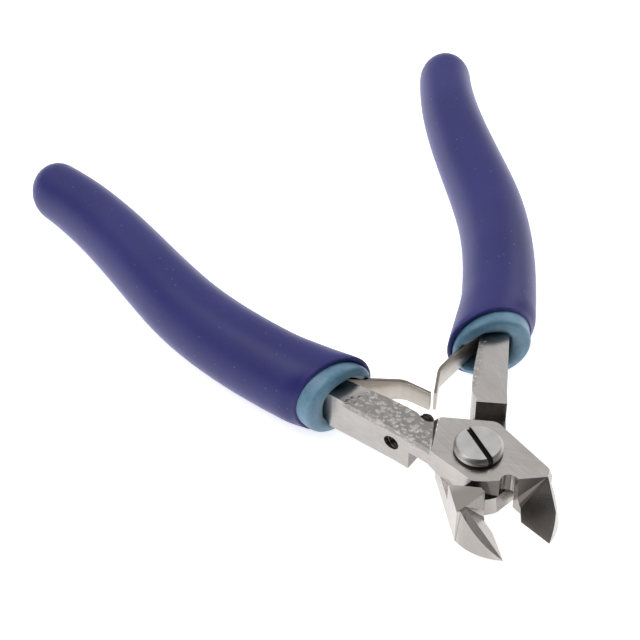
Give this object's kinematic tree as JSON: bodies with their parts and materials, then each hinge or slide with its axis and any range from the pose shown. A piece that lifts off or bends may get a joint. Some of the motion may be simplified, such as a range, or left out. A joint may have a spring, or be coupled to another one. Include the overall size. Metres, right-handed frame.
{
  "type": "flush cut pliers",
  "caption": "Hand cutting pliers with lapped flush-cut jaws on a slotted pivot screw, leaf springs between the handles, a stop screw and cushioned grips.",
  "frame": {"origin": "where the pivot axis meets the flat underside of the head", "axes": "+Y to the handles, jaws point along -Y, +Z along the pivot axis, out of the slotted end of the pivot screw"},
  "size_m": [0.1126, 0.1409, 0.0188],
  "materials": {
    "ground_steel": "satin ground",
    "screw_steel": "machined",
    "dark_steel": "dark satin",
    "black_oxide": "black oxide",
    "spring_steel": "bright rolled",
    "teal_sleeve": "satin vinyl",
    "indigo_skin": "matte foamed vinyl"
  },
  "bodies": {
    "lower_half": {"lower_half": "ground_steel", "pivot_screw": "screw_steel", "pivot_washer": "dark_steel", "right_spring_root": "spring_steel", "right_spring_rivets": "screw_steel", "right_grip_core": "teal_sleeve", "right_grip_skin": "indigo_skin"},
    "upper_half": {"upper_half": "ground_steel", "left_spring_root": "spring_steel", "left_spring_rivets": "screw_steel", "left_grip_core": "teal_sleeve", "left_grip_skin": "indigo_skin"},
    "left_leaf": {"left_spring_leaf": "spring_steel"},
    "right_leaf": {"right_spring_leaf": "spring_steel"},
    "stop_screw": {"stop_screw": "black_oxide"}
  },
  "joints": [
    {"name": "pivot", "type": "hinge", "parent": "lower_half", "child": "upper_half", "pos_m": [0, 0, 0.0049], "axis": [0, 0, -1], "range_deg": [0, 26.8], "stiffness_Nm_per_rad": 0.6},
    {"name": "left_leaf_flex", "type": "hinge", "parent": "upper_half", "child": "left_leaf", "pos_m": [-0.01729, 0.03193, 0.0049], "axis": [0, 0, -1], "range_deg": [0, 11.26]},
    {"name": "right_leaf_flex", "type": "hinge", "parent": "lower_half", "child": "right_leaf", "pos_m": [0.01729, 0.03193, 0.0049], "axis": [0, 0, 1], "range_deg": [0, 19.83]},
    {"name": "stop_screw_travel", "type": "slide", "parent": "upper_half", "child": "stop_screw", "axis": [0.9728, 0.2317, 0], "range_m": [-0.001, 0.0005]}
  ],
  "couplings": [
    {"joint": "left_leaf_flex", "follows": "pivot", "ratio": 0.42},
    {"joint": "right_leaf_flex", "follows": "pivot", "ratio": 0.74}
  ]
}
